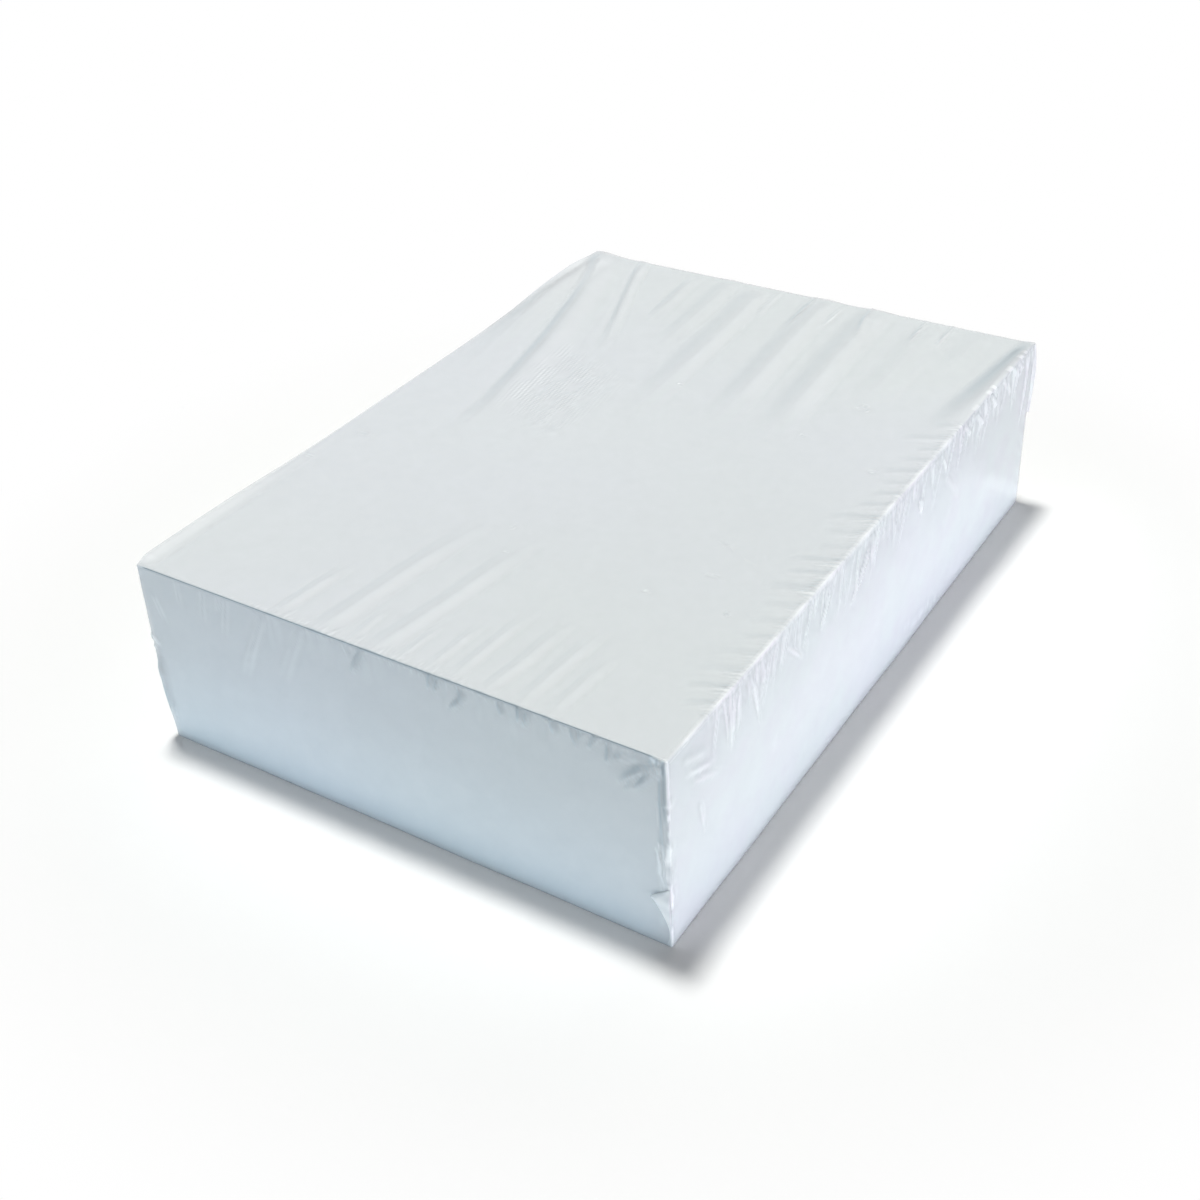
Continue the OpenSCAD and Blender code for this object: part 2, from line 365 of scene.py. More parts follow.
def fine_wrinkles(x, y):
    """The patch of fine broken wrinkles left of the middle at the far end."""
    along = y + 0.5 * (x - WRINKLE_X)
    lines = np.cos(2 * np.pi * (x + 0.15 * y) / WRINKLE_PITCH)
    clumps = smooth(0.75 + 1.1 * np.sin(0.62 * x + 0.21 * y) * np.sin(0.31 * y - 0.23 * x + 0.8))
    middle = smooth((along + 6) / 16) * smooth((40 - along) / 9)
    return WRINKLE_H * (1 + lines) * clumps * middle * bump((x - WRINKLE_X) / 15) ** 0.5


def specks(x, y):
    height = np.zeros_like(x)
    for at_x, at_y, radius in SPECKS:
        away = np.hypot(x - at_x, y - at_y) / radius
        height += SPECK_H * bump(away) * np.cos(5 * away + at_x)
    return height


def edge_roll(x, y):
    """How far the film rises along the top's left edge near the near end."""
    along = smooth((-y - 30) / 50) * smooth((y + SKIN_L) / 5 + 0.1)
    return ROLL_H * bump((x + SKIN_W) / ROLL_W) * along


# Folds beside the long right edge

FEATHERS_Y = (-88, 52)
FEATHER_H = 0.14
FEATHER_SLANT = 0.35
PLEATS_Y = (-84, 104)

# Narrow loops of film that stand up on the right side: (y, drop) at both ends, width, height
SIDE_LOOPS = (
    ((-31, 4), (-34.6, 12), 0.7, 0.6),
    ((-9, 5), (-17.3, 15.7), 0.75, 0.7),
    ((-15, 7), (-15.5, 13), 0.6, 0.4),
    ((100.5, 1), (98.2, 22), 0.6, 0.5),
    ((-4, 1), (-7, 8), 0.8, 0.6),
    ((23, 8), (24.5, 13), 0.8, 0.6),
    ((37, 3), (41, 9), 0.7, 0.4),
    ((52, 1), (57, 6), 0.7, 0.5),
    ((57.5, 0), (56, 5), 0.6, 0.5),
    ((61, 2), (66, 8), 0.7, 0.6),
    ((66, 0), (67.5, 5), 0.7, 0.5),
    ((71, 1), (76, 7), 0.7, 0.6),
    ((74.5, 0), (73, 4.5), 0.6, 0.5),
    ((80, 0), (83, 4), 0.7, 0.5),
    ((84, 3), (87, 8), 0.7, 0.45),
    ((88, 0), (89, 3.5), 0.7, 0.5),
    ((92, 0.5), (96, 4), 0.7, 0.5),
    ((-52, 6), (-44, 14), 0.8, 0.25),
    ((-69, 4), (-65, 18), 0.8, 0.3),
    ((-77.5, 3), (-78.5, 16), 0.7, 0.35),
    ((-75, 3), (-75.5, 14), 0.7, 0.3),
    ((-98, 5), (-88, 9), 1.2, 0.22),
    ((-97, 9), (-85, 14), 1.3, 0.26),
    ((-94, 13), (-83, 18), 1.1, 0.2),
    ((-92, 21), (-90, 30), 0.9, 0.15),
    ((-59, 29), (-56, 32), 0.6, 0.2),
    ((20, 47), (35, 50), 0.8, 0.3),
    ((34, 49), (43, 52), 0.8, 0.25),
    ((40, 10), (52, 22), 1.4, 0.2),
)


def feathers(rng, y, inward):
    """Fine puckers in bunches that reach in over the top from the right edge."""
    height = np.zeros_like(y)
    place, end = FEATHERS_Y
    while place < end:
        bunch = rng.uniform(5.5, 9.0)
        reach = rng.uniform(3.0, 6.5)
        strength = FEATHER_H * rng.uniform(0.6, 1.3)
        pitch = rng.uniform(1.0, 1.5)
        lines = int(bunch / pitch)
        soft = (y - place - 0.5 * bunch + FEATHER_SLANT * inward) / (0.4 * bunch)
        height += strength * bump(soft) * smooth((2.2 * reach - inward) / (1.4 * reach))
        for k in range(lines):
            middle = 1 - abs(2 * (k + 0.5) / lines - 1)
            length = reach * (0.4 + 0.6 * middle) * rng.uniform(0.75, 1.25)
            slant = FEATHER_SLANT + rng.uniform(-0.12, 0.12)
            at = place + k * pitch + rng.uniform(-0.3, 0.3)
            narrow = 1 - 0.5 * np.clip(inward / length, 0, 1)
            across = (y - at + slant * inward) / (0.6 * pitch * narrow)
            tall = strength * rng.uniform(0.3, 1.3)
            height += tall * bump(across) * smooth((length - inward) / (0.7 * length))
        place += bunch
    return height


def side_pleats(rng, y, drop):
    """Crumpled pleats that run down the right side from the top edge."""
    height = np.zeros_like(y)
    place, end = PLEATS_Y
    while place < end:
        length = rng.uniform(7, 18)
        slant = rng.uniform(-0.4, 0.15)
        width = rng.uniform(0.9, 2.4)
        tall = rng.uniform(0.15, 0.5)
        bend = rng.uniform(-0.5, 0.5) * np.sin(drop / rng.uniform(2.5, 5))
        share = np.clip(drop / length, 0, 1)
        across = (y - place - slant * drop - bend) / (width * (1.05 - 0.8 * share))
        ridge = bump(across) if rng.random() < 0.6 else crease(across * 0.8)
        height += tall * ridge * smooth(drop / 3 + 0.25) * smooth((length - drop) / (0.7 * length))
        place += rng.uniform(1.8, 4.4)
    return height


def side_loops(y, drop):
    return sum(stroke(y, drop, *loop) for loop in SIDE_LOOPS)


# Folds of the near side

# Streaks and crumples: (x, drop) at both ends, width, height
NEAR_STROKES = (
    ((-34, 2), (-43, 21), 1.5, 0.3),
    ((-22.5, 2), (-30.5, 18), 1.6, 0.24),
    ((-45, 1), (-48, 12), 1.1, 0.15),
    ((-47.5, 1), (-49, 6), 0.9, 0.1),
    ((-52.5, 1), (-54.5, 10), 1.0, 0.13),
    ((-61, 1), (-61.5, 8), 0.9, 0.1),
    ((-70, 8), (-68, 15), 0.9, 0.1),
    ((-75, 20), (-72.5, 23.5), 0.6, 0.4),
    ((-75.5, 26), (-73.8, 24), 0.5, 0.4),
    ((-74.2, 30), (-73.2, 37), 0.6, 0.3),
    ((-4.5, 1), (-8, 7), 0.7, 0.45),
    ((-6, 5), (-8.5, 8), 0.56, 0.4),
    ((-9.5, 0.5), (-8.5, 4), 0.56, 0.3),
    ((15, 0), (14, 4.5), 0.7, 0.45),
    ((17, 0), (15.5, 5), 0.56, 0.4),
    ((24, 2.5), (19.5, 8), 0.7, 0.5),
    ((22.5, 1), (23, 4), 0.56, 0.35),
    ((33, 1), (33.5, 4.5), 0.7, 0.4),
    ((38.5, 0), (38, 4.5), 0.77, 0.5),
    ((40.5, 1), (39, 5.5), 0.63, 0.45),
    ((46.5, 0), (47, 4), 0.77, 0.5),
    ((51.5, 1), (52.5, 5), 0.63, 0.4),
    ((54, 0.5), (52.5, 3.5), 0.56, 0.4),
    ((57.5, 0), (55.5, 4.5), 0.63, 0.4),
    ((60.5, 1), (60, 6), 0.63, 0.4),
)
# Sharp folds: first those that spread from the right top corner, then the crumples above the ear
SHARP_STROKES = (
    ((73.5, 0.6), (63, 8.5), 1.3, 0.75),
    ((73, 2.5), (65, 11.5), 1.1, 0.6),
    ((72.5, 0.8), (61, 4), 0.9, 0.5),
    ((71, 3), (67, 9.5), 0.7, 0.45),
    ((68, 4), (62.5, 10.5), 0.8, 0.4),
    ((64, 2.5), (59, 6), 0.8, 0.35),
    ((66.5, 7), (64, 12), 0.6, 0.3),
    ((71.3, 25), (73.2, 30.5), 0.5, 0.35),
    ((73.6, 25.5), (71.8, 31.5), 0.5, 0.4),
    ((71.6, 30), (73.8, 34), 0.5, 0.35),
    ((73.4, 31.5), (72.2, 36), 0.5, 0.3),
)

# Tiny puckers along the near top edge, down the near side and in over the top: from x, to x,
# how far they reach, and their height
NICKS_DOWN = (-22, 70, 3.2, 0.15)
NICKS_IN = (-38, 24, 6, 0.12)

# The flat lap of film down the near side, beside the right corner, and the rib on it
PLEAT_X = 71.4
PLEAT_H = 0.2
PLEAT_DROP = 35
RIB_X = 73.1
RIB_H = 0.16

# Nicks along the near right upright edge: how far down, half height, and how far they stand off
CORNER_NICKS = (
    (11.5, 1.6, 0.35), (24, 2.5, 0.25), (31, 1.8, 0.55), (34, 1.4, 0.5), (37, 1.6, 0.6),
    (40, 1.8, 0.3), (45, 2.2, 0.25),
)
CORNER_REACH = 3.2
RIPPLE_H = 0.12


def near_strokes(x, drop):
    soft = sum(stroke(x, drop, *row) for row in NEAR_STROKES)
    return soft + sum(stroke(x, drop, *row, sharp=True) for row in SHARP_STROKES)


def edge_nicks(rng, along, away, low, high, reach, tall):
    """Tiny puckers that start at an edge: places along it and away from it."""
    height = np.zeros_like(along)
    place = low
    while place < high:
        length = reach * rng.uniform(0.35, 1.2)
        slant = rng.uniform(-0.4, 0.4)
        across = (along - place - slant * away) / rng.uniform(0.6, 1.0)
        height += tall * rng.uniform(0.35, 1.1) * bump(across) * smooth((length - away) / length)
        place += rng.uniform(1.3, 2.4)
    return height


def corner_pleat(x, drop):
    wander = 0.3 * np.sin(drop / 6.5) + 0.12 * np.sin(drop / 2.3)
    lap = smooth((x - PLEAT_X - wander) / 0.9)
    rib = bump((x - RIB_X + 0.3 * np.sin(drop / 7)) / 0.7)
    return (PLEAT_H * lap + RIB_H * rib * smooth(drop / 8)) * smooth((PLEAT_DROP - drop) / 5)


def corner_crumples(rng, away, drop):
    height = np.zeros_like(drop)
    for at, reach, tall in CORNER_NICKS:
        lean = rng.uniform(-0.5, 0.5)
        height += tall * bump((drop - at - lean * away) / reach) * smooth(1 - away / CORNER_REACH)
    return height


def ripples(along, drop):
    """Slow waves of the near and right sides."""
    waves = np.sin(along / 9 + 0.05 * drop) * np.sin(drop / 13 + along / 31)
    return RIPPLE_H * (1 + waves) * smooth(drop / 10)


# The loose film of the left side

FAR_SWELL = 1.6
NEAR_SWELL = 1.35
UPPER_SWELL = 0.4
EDGE_SWELL = 0.25
SWELL_WRAPS = 3


def far_corner_swell(y, drop):
    """How far the loose film stands off the left side near the far end."""
    along = smooth((y - 22) / 62) * (0.55 + 0.45 * smooth((SKIN_L - y) / 16))
    return FAR_SWELL * along * smooth((SKIN_TOP - drop) / 44)


def near_corner_swell(y, drop):
    """How far it stands off the left side near the near end, low down and higher up."""
    along = bump((y + HALF_L) / 40)
    return along * (NEAR_SWELL * bump((drop - 37) / 16) + UPPER_SWELL * bump((drop - 21) / 12))


def loose_edge(y, drop):
    """How far the top's left edge stands off near the near end."""
    along = smooth((-y - 45) / 45) * smooth((y + SKIN_L) / 7 + 0.1)
    return EDGE_SWELL * along * smooth(1 - drop / 13)


def sideways_swell(places):
    """How far the loose film on the left side, and the top's edge with it, moves out."""
    x, y, z = places.T
    drop = SKIN_TOP - z
    swell = far_corner_swell(y, drop) + near_corner_swell(y, drop) + loose_edge(y, drop)
    return swell * smooth(1 - (x + SKIN_W) / SWELL_WRAPS)


# All the folds together

TOP_REACH = 1.7
END_REACH = 1.2
SIDE_REACH = 1.7
SLOPE_STEP = 0.35
# Ways along which the painted light on the folds comes, on the top, on the ends and elsewhere
TOP_LIGHT_WAY = (0.85, -0.53, 0)
END_LIGHT_WAY = (1, 0, 0)
SIDE_LIGHT_WAY = (0, -1, 0)


def faces(places):
    """Which places lie on the top, the near and far ends and the right side. Corners lie on two."""
    x, y, z = places.T
    top = z > SKIN_TOP - TINY
    near = ~top & (y < -SKIN_L + TINY)
    far = ~top & (y > SKIN_L - TINY)
    right = ~top & (x > SKIN_W - TINY)
    return top, near, far, right


def stand_off(places):
    """How far the film stands off the sheets at each place of the skin, with none on the underside."""
    rng = random.Random(7)
    x, y, z = places.T
    drop = SKIN_TOP - z
    top, near, far, right = faces(places)
    from_far = SKIN_L - y - np.where(far, drop, 0)
    from_near = SKIN_L + y - np.where(near, drop, 0)
    from_corner = np.where(near, SKIN_W - x, SKIN_L + y)

    # These draw from rng, one after another
    feathered = feathers(rng, y, np.where(right, 0, SKIN_W - x))
    pleats = side_pleats(rng, y, drop)
    nicks_down = edge_nicks(rng, x, drop, *NICKS_DOWN)
    nicks_in = edge_nicks(rng, x, SKIN_L + y, *NICKS_IN)
    crumples = corner_crumples(rng, from_corner, drop)

    height = np.zeros(len(places))
    for face, folds in (
        (top | far, end_folds(x, from_far, FAR_FOLDS)),
        (top | near, end_folds(x, from_near, NEAR_FOLDS)),
        (top, far_tents(x, from_far) + fine_wrinkles(x, y) + edge_roll(x, y) + specks(x, y)),
        (top, feathered + nicks_in),
        (right, feathered * smooth(1 - drop / 4) + pleats + side_loops(y, drop) + ripples(y, drop)),
        (near, near_strokes(x, drop) + nicks_down + corner_pleat(x, drop) + ripples(x, drop)),
        (near | right, crumples),
    ):
        height += np.where(face, folds, 0)
    for face, reach in ((top, TOP_REACH), (near, END_REACH), (right, SIDE_REACH)):
        height = np.where(face, np.minimum(height, reach), height)
    return np.where(z < TINY, 0, height)


def slope(places):
    """How steeply the film falls along TOP_LIGHT_WAY on the top, END_LIGHT_WAY on the ends and
    SIDE_LIGHT_WAY elsewhere: the ways the painted light on the folds comes along.
    """
    top, near, far, _ = faces(places)
    way = np.tile(np.array(SIDE_LIGHT_WAY, float), (len(places), 1))
    way[top] = TOP_LIGHT_WAY
    way[near | far] = END_LIGHT_WAY
    limit = np.array((SKIN_W, SKIN_L, SKIN_TOP))
    ahead = stand_off(np.clip(places + SLOPE_STEP * way, -limit, limit))
    behind = stand_off(np.clip(places - SLOPE_STEP * way, -limit, limit))
    return (behind - ahead) / (2 * SLOPE_STEP)


# Painted light and shade of the film

# The slope that gives a fold its full painted shade or highlight, and the darkest painted shade
FULL_SHADING_SLOPE = 0.36
DARKEST_SHADE = -1.5

# How milky the film is: where flat, at most, and how much its height, swell, painted shading and painted
# lines add
CLEAR = 0.3
MILKY = 0.85
MILK_OF_HEIGHT = 0.12
MILK_OF_SWELL = 0.25
MILK_OF_SHADING = 0.34
MILK_OF_PAINTED_LINES = 0.25

# Widths of the painted highlights along the right edges and of the painted shade line along the near top
# edge
TOP_HIGHLIGHT_WIDTH = 0.55
UPRIGHT_HIGHLIGHT_WIDTH = 0.5
EDGE_SHADE_WIDTH = 0.38

# From here on along the right top edge the painted highlight has gaps, and below here the upright one has
GAPS_FROM = 34
UNBROKEN_FROM = 42

# The streaks of the near side lie left of this, and its low crumples right of and below this: these get
# painted highlight, and the rest of the near side painted shade
STREAKS_TO = -4
CRUMPLES = (70.5, 30)
# Right of this, high up on the near side, a painted shadow darkens the lap by the right corner
CORNER_SHADOW_X = 72.75
# Below this the folds of the right side's foot get only painted shade
SHADED_SEAM_Z = 9
# Before this along the top's right band the feathers' painted shade is deeper, and beyond it the far right
# groove's
GROOVE_FROM = 55

# Painted highlight on the film that stands off sideways at the far end and on the top, and painted shade on
# it at the near end
FAR_SWELL_HIGHLIGHT = 0.45
NEAR_SWELL_SHADE = -0.9


def painted_edge_highlight(places):
    """A painted highlight along the right edges of the stretched film, with gaps towards the far end and
    broken low down the upright.
    """
    x, y, z = places.T
    past_side = np.clip(SKIN_W - x, 0, None)
    from_top = np.hypot(past_side, np.clip(SKIN_TOP - z, 0, None))
    line = smooth(1.4 - from_top / TOP_HIGHLIGHT_WIDTH)
    line *= 0.75 + 0.25 * np.sin(y / 2.7 + np.sin(y / 7))
    gaps = smooth(0.5 - 1.5 * np.sin(y / 1.3 + 2 * np.sin(y / 3.7) + 1.6 * np.sin(y / 1.9)))
    line *= 1 - 0.85 * smooth((y - GAPS_FROM) / 20) * gaps
    from_corner = np.hypot(past_side, np.clip(SKIN_L + y, 0, None))
    upright = smooth(1.3 - from_corner / UPRIGHT_HIGHLIGHT_WIDTH)
    upright *= np.where(z > UNBROKEN_FROM, 1, 0.5 + 0.5 * np.sin(z / 1.9 + np.sin(z)))
    return np.maximum(line, upright)


def near_edge_shade(places):
    """A thin line of painted shade along the near top edge."""
    x, y, z = places.T
    from_edge = np.hypot(SKIN_L + y, SKIN_TOP - z)
    return smooth(1.3 - from_edge / EDGE_SHADE_WIDTH) * smooth((72 - x) / 2) * smooth((x + 74) / 3)


def near_painted_shading(x, z, painted_shading):
    """On the near side the left streaks and the low crumples get painted highlight and the rest painted
    shade, with a painted shadow on the lap by the right corner and a painted highlight along the lap's
    edge.
    """
    painted_highlight = np.maximum(smooth((STREAKS_TO - x) / 12), (x > CRUMPLES[0]) & (z < CRUMPLES[1]))
    painted_shading = 0.75 * painted_highlight * np.abs(painted_shading) + (1 - painted_highlight) * (0.3 * painted_shading - 0.9 * np.abs(painted_shading))
    # A painted shadow on the lap beside the right corner, and a painted highlight along the lap's edge
    lap = smooth((x - CORNER_SHADOW_X) / 0.4) * smooth((z - 34) / 6)
    painted_lap_highlight = bump((x - PLEAT_X - 0.3) / 0.5) * smooth((z - 20) / 6) * smooth((50 - z) / 8)
    return np.clip(painted_shading - 0.95 * lap + 0.45 * painted_lap_highlight, DARKEST_SHADE, 1)


def top_painted_shading(x, y, painted_shading):
    """On the top the painted shade on the near folds' dark sides is softer, and on the feathers and the far
    right deeper.
    """
    left = x < END_X
    softer_shade = left & (y < NEAR_Y) & (painted_shading < 0)
    feathered = (x > END_X) & (y < GROOVE_FROM) & (painted_shading < 0)
    groove_shade = (x > END_X) & (y > GROOVE_FROM) & (painted_shading < 0)
    return painted_shading * np.select((softer_shade, feathered, groove_shade), (0.5, 1.7, 1.5), 1)


def right_painted_shading(y, z, painted_shading):
    """On the right side the folds' painted highlight is stronger and their painted shade lighter, the loops
    get painted glints and the folds of the foot's seam only painted shade.
    """
    upper = np.where(painted_shading > 0, 1.2, 0.35) * painted_shading + 1.6 * side_loops(y, SKIN_TOP - z)
    return np.where(z > SHADED_SEAM_Z, upper, -np.abs(painted_shading))


def film_painted_shading(places, height, swell):
    """The film's painted light and shade at each place, from painted shade below 0 to painted highlight at
    1, drawn from how its folds slope along the light ways, and how milky it is.
    """
    x, y, z = places.T
    painted_shading = np.clip(slope(places) / FULL_SHADING_SLOPE, -1, 1)
    top, near, _, right = faces(places)
    painted_shading = np.select((top, near, right),
                     (top_painted_shading(x, y, painted_shading), near_painted_shading(x, z, painted_shading), right_painted_shading(y, z, painted_shading)), painted_shading)
    # Painted highlight on the loose film at the far end and on the top, painted shade on it at the near end
    swell_shading = np.where(top | (y > 0), FAR_SWELL_HIGHLIGHT, NEAR_SWELL_SHADE)
    painted_shading += swell_shading * smooth((swell - 0.3) / 0.7)
    painted_highlight = painted_edge_highlight(places)
    edge_shade = near_edge_shade(places)
    painted_shading = np.clip(painted_shading * (1 - painted_highlight) * (1 - edge_shade) + painted_highlight - edge_shade, DARKEST_SHADE, 1)
    milk = CLEAR + MILK_OF_HEIGHT * height + MILK_OF_SWELL * swell + MILK_OF_SHADING * np.abs(painted_shading)
    milk = np.clip(milk + MILK_OF_PAINTED_LINES * (painted_highlight + edge_shade), 0, MILKY)
    return np.where(painted_shading < 0, 0.6 * painted_shading, painted_shading) - 0.4 * edge_shade, milk


# The skin of film

def rounded(places):
    """Rounds the edges of the box of film, the foot least, and gives the way each place faces."""
    low = np.array((-INNER_W, -INNER_L, FOOT_ROUND))
    high = np.array((INNER_W, INNER_L, INNER_TOP))
    core = np.clip(places, low, high)
    radius = np.full(places.shape, SKIN_ROUND)
    radius[places[:, 2] < MIDDLE_Z, 2] = FOOT_ROUND
    facing = (places - core) / radius
    facing /= np.linalg.norm(facing, axis=1, keepdims=True)
    return core + radius * facing, facing


def mesh_object(name, bm):
    """Turns a mesh in millimetres into an object in metres."""
    bmesh.ops.scale(bm, vec=(MM, MM, MM), verts=bm.verts)
    mesh = bpy.data.meshes.new(name)
    bm.to_mesh(mesh)
    bm.free()
    thing = bpy.data.objects.new(name, mesh)
    bpy.context.scene.collection.objects.link(thing)
    return thing


def film_object(name, bm, painted_shadings, milks):
    """A smooth piece of film that keeps its painted light and shade and a milkiness at each corner of its
    mesh.
    """
    shading_layer = bm.verts.layers.float.new("painted_shading")
    milk_layer = bm.verts.layers.float.new("milk")
    for vert, painted_shading, milk in zip(bm.verts, painted_shadings, milks):
        vert[shading_layer] = painted_shading
        vert[milk_layer] = milk
    for face in bm.faces:
        face.smooth = True
    return mesh_object(name, bm)


def film_skin():
    bm = blank_skin()
    places = np.array([v.co for v in bm.verts])
    height = stand_off(places)
    swell = sideways_swell(places)
    skin, facing = rounded(places)
    skin += facing * height[:, None]
    skin[:, 0] -= swell
    for vert, at in zip(bm.verts, skin):
        vert.co = at
    return film_object("film_skin", bm, *film_painted_shading(places, height, swell))


# Flaps of film that stand free

FLAP_T = 0.06
FLAP_MILK = 0.8

EAR_TOP = 17.7
EAR_FOOT = 1.5
EAR_TIP = (69.2, 14.3)
EAR_OUT = 0.75
EAR_HIGHLIGHT = 0.7

FIN_LENGTH = 22
FIN_OUT = 1.35
FIN_HIGHLIGHT = 0.95


def flap(name, across, along, place, painted_shading):
    """A thin sheet of film: place gives each point for shares of its width and length."""
    bm = bmesh.new()
    bmesh.ops.create_grid(bm, x_segments=across, y_segments=along, size=0.5)
    for vert in bm.verts:
        vert.co = place(vert.co.x + 0.5, vert.co.y + 0.5)
    bmesh.ops.recalc_face_normals(bm, faces=bm.faces)
    bmesh.ops.solidify(bm, geom=bm.verts[:] + bm.edges[:] + bm.faces[:], thickness=FLAP_T)
    # The flap's painted highlight, in waves over it
    painted_shadings = [painted_shading + (1 - painted_shading) * np.sin(1.6 * vert.co.z + 1.1 * vert.co.x) for vert in bm.verts]
    return film_object(name, bm, painted_shadings, [FLAP_MILK] * len(bm.verts))


def ear_place(u, v):
    """u runs from the corner to the free edge, v from the foot up to the top."""
    root = Vector((SKIN_W + 0.25 * np.sin(3.1 * v), -SKIN_L - 0.25, EAR_FOOT + v * (EAR_TOP - EAR_FOOT)))
    tip_share = (EAR_TIP[1] - EAR_FOOT) / (EAR_TOP - EAR_FOOT)
    below = v < tip_share
    point = 1 - abs(v - tip_share) / (tip_share if below else 1 - tip_share)
    reach = (SKIN_W - EAR_TIP[0]) * max(0.02, point) ** (2.2 if below else 1)
    fold = 0.2 * np.sin(7 * u + 4 * v) * point
    lift = EAR_OUT * point * np.sin(np.pi * (0.25 + 0.5 * u)) + fold * u
    return root + Vector((-u * reach, -max(0.05, lift), 0))


def fin_place(u, v):
    """u runs out from the far right upright edge, v from the foot of the fin up to the top."""
    out = FIN_OUT * u * np.sin(np.pi * (0.1 + 0.85 * v)) ** 0.6
    wave = 0.14 * np.sin(9 * v + 2 * u) * u
    return Vector((SKIN_W + 0.7 * out + wave, SKIN_L + 0.75 * out - wave - 0.3,
                   TOP - FIN_LENGTH * (1 - v)))


# The stack of sheets

SHEETS = 500
BUNDLE = 4
SHEET_SHIFT = 0.03
GROOVE_SHARE = 0.42


def sheet_stack():
    """The sheets as one block whose sides show how bundles of sheets sit a hair in or out."""
    rng = random.Random(3)
    height = TOP - BOTTOM
    bm = bmesh.new()
    bmesh.ops.create_cube(bm, size=1)
    bmesh.ops.scale(bm, vec=(2 * HALF_W, 2 * HALF_L, height), verts=bm.verts)
    bmesh.ops.translate(bm, vec=(0, 0, (TOP + BOTTOM) / 2), verts=bm.verts)
    layers = SHEETS // BUNDLE
    rows = 2 * layers
    edges = [e for e in bm.edges if runs_along(e, 2)]
    bmesh.ops.subdivide_edges(bm, edges=edges, cuts=rows - 1)
    step = height / rows
    shifts = [(rng.uniform(0, SHEET_SHIFT), rng.uniform(0, SHEET_SHIFT)) for _ in range(layers + 1)]
    for vert in bm.verts:
        row = round((vert.co.z - BOTTOM) / step)
        if 0 < row < rows:
            dx, dy = shifts[row // 2]
            vert.co.x -= dx * (1 if vert.co.x > 0 else -1)
            vert.co.y -= dy * (1 if vert.co.y > 0 else -1)
        if 1 < row < rows - 1:
            vert.co.z += step * GROOVE_SHARE * (1 if row % 2 else -1)
    return mesh_object("sheet_stack", bm)


# Short ways to add nodes to a material or the world

def fill(tree, node, inputs):
    """Gives each named or numbered input of a node a value, or joins another node's output to it."""
    for key, value in inputs.items():
        if isinstance(value, bpy.types.NodeSocket):
            tree.links.new(value, node.inputs[key])
        else:
            node.inputs[key].default_value = value


def add(tree, kind, inputs, operation=None):
    """Adds a node and gives its first output."""
    node = tree.nodes.new("ShaderNode" + kind)
    if operation:
        node.operation = operation
    fill(tree, node, inputs)
    return node.outputs[0] if node.outputs else None


def mapped(tree, value, low, high, to_low=0, to_high=1, ease="LINEAR"):
    """Maps a value from one range to another, and keeps it there."""
    node = tree.nodes.new("ShaderNodeMapRange")
    node.interpolation_type = ease
    fill(tree, node, {"Value": value, "From Min": low, "From Max": high,
                      "To Min": to_low, "To Max": to_high})
    return node.outputs[0]


def mixed(tree, share, first, second):
    """Mixes two shaders."""
    return add(tree, "MixShader", {0: share, 1: first, 2: second})


def ramp(tree, value, stops):
    """Turns a value into a colour by stops given as (value, colour)."""
    node = tree.nodes.new("ShaderNodeValToRGB")
    fill(tree, node, {"Fac": value})
    elements = node.color_ramp.elements
    for element, (place, colour) in ((elements[0], stops[0]), (elements[1], stops[-1])):
        element.position = place
        element.color = (*colour, 1)
    for place, colour in stops[1:-1]:
        elements.new(place).color = (*colour, 1)
    return node.outputs["Color"]


def attribute(tree, name):
    """A value that the mesh keeps."""
    node = tree.nodes.new("ShaderNodeAttribute")
    node.attribute_name = name
    return node.outputs["Fac"]


def object_places(tree):
    return tree.nodes.new("ShaderNodeTexCoord").outputs["Object"]


def multiplied(tree, share, colour, tint):
    """Multiplies a colour by a tint, by a share."""
    node = tree.nodes.new("ShaderNodeMix")
    node.data_type = "RGBA"
    node.blend_type = "MULTIPLY"
    fill(tree, node, {"Factor": share, "A": colour, "B": tint})
    return node.outputs["Result"]


def material(name):
    made = bpy.data.materials.new(name)
    made.use_nodes = True
    made.node_tree.nodes.clear()
    return made, made.node_tree


def dress(thing, made):
    thing.data.materials.clear()
    thing.data.materials.append(made)


# Materials

# The film seen through, how rough its reflections are, and how much it mirrors seen square on
FILM_CLEAR = (0.98, 0.985, 0.985, 1)
FILM_GLOSS = 0.24
FILM_MIRROR = 0.07
MIRROR_POWER = 5

# The milky film's colours from its darkest painted shade to its brightest painted highlight, and the lilac
# light painted on its right side
HAZE_ROUGHNESS = 0.42
FILM_SHADE_COLOURS = (
    (0, (0.20, 0.24, 0.27)), (0.2, (0.54, 0.60, 0.635)), (0.5, (0.82, 0.84, 0.865)),
    (1, (0.97, 0.985, 0.985)),
)
RIGHT_LIGHT_TINTS = ((0.38, (1.0, 0.955, 1.0)), (0.6, (0.98, 0.99, 0.99)))
RIGHT_FROM = (SKIN_W - 0.15) * MM
RIGHT_FULL = (SKIN_W - 0.02) * MM
CLOUD_SCALE = 70

PAPER_ROUGHNESS = 0.85
PAPER_TINTS = ((0.35, (0.80, 0.815, 0.845)), (0.65, (0.80, 0.825, 0.825)))
PAPER_CLOUD_SCALE = 9
SHEET_LINES = (10, 10, 2200)


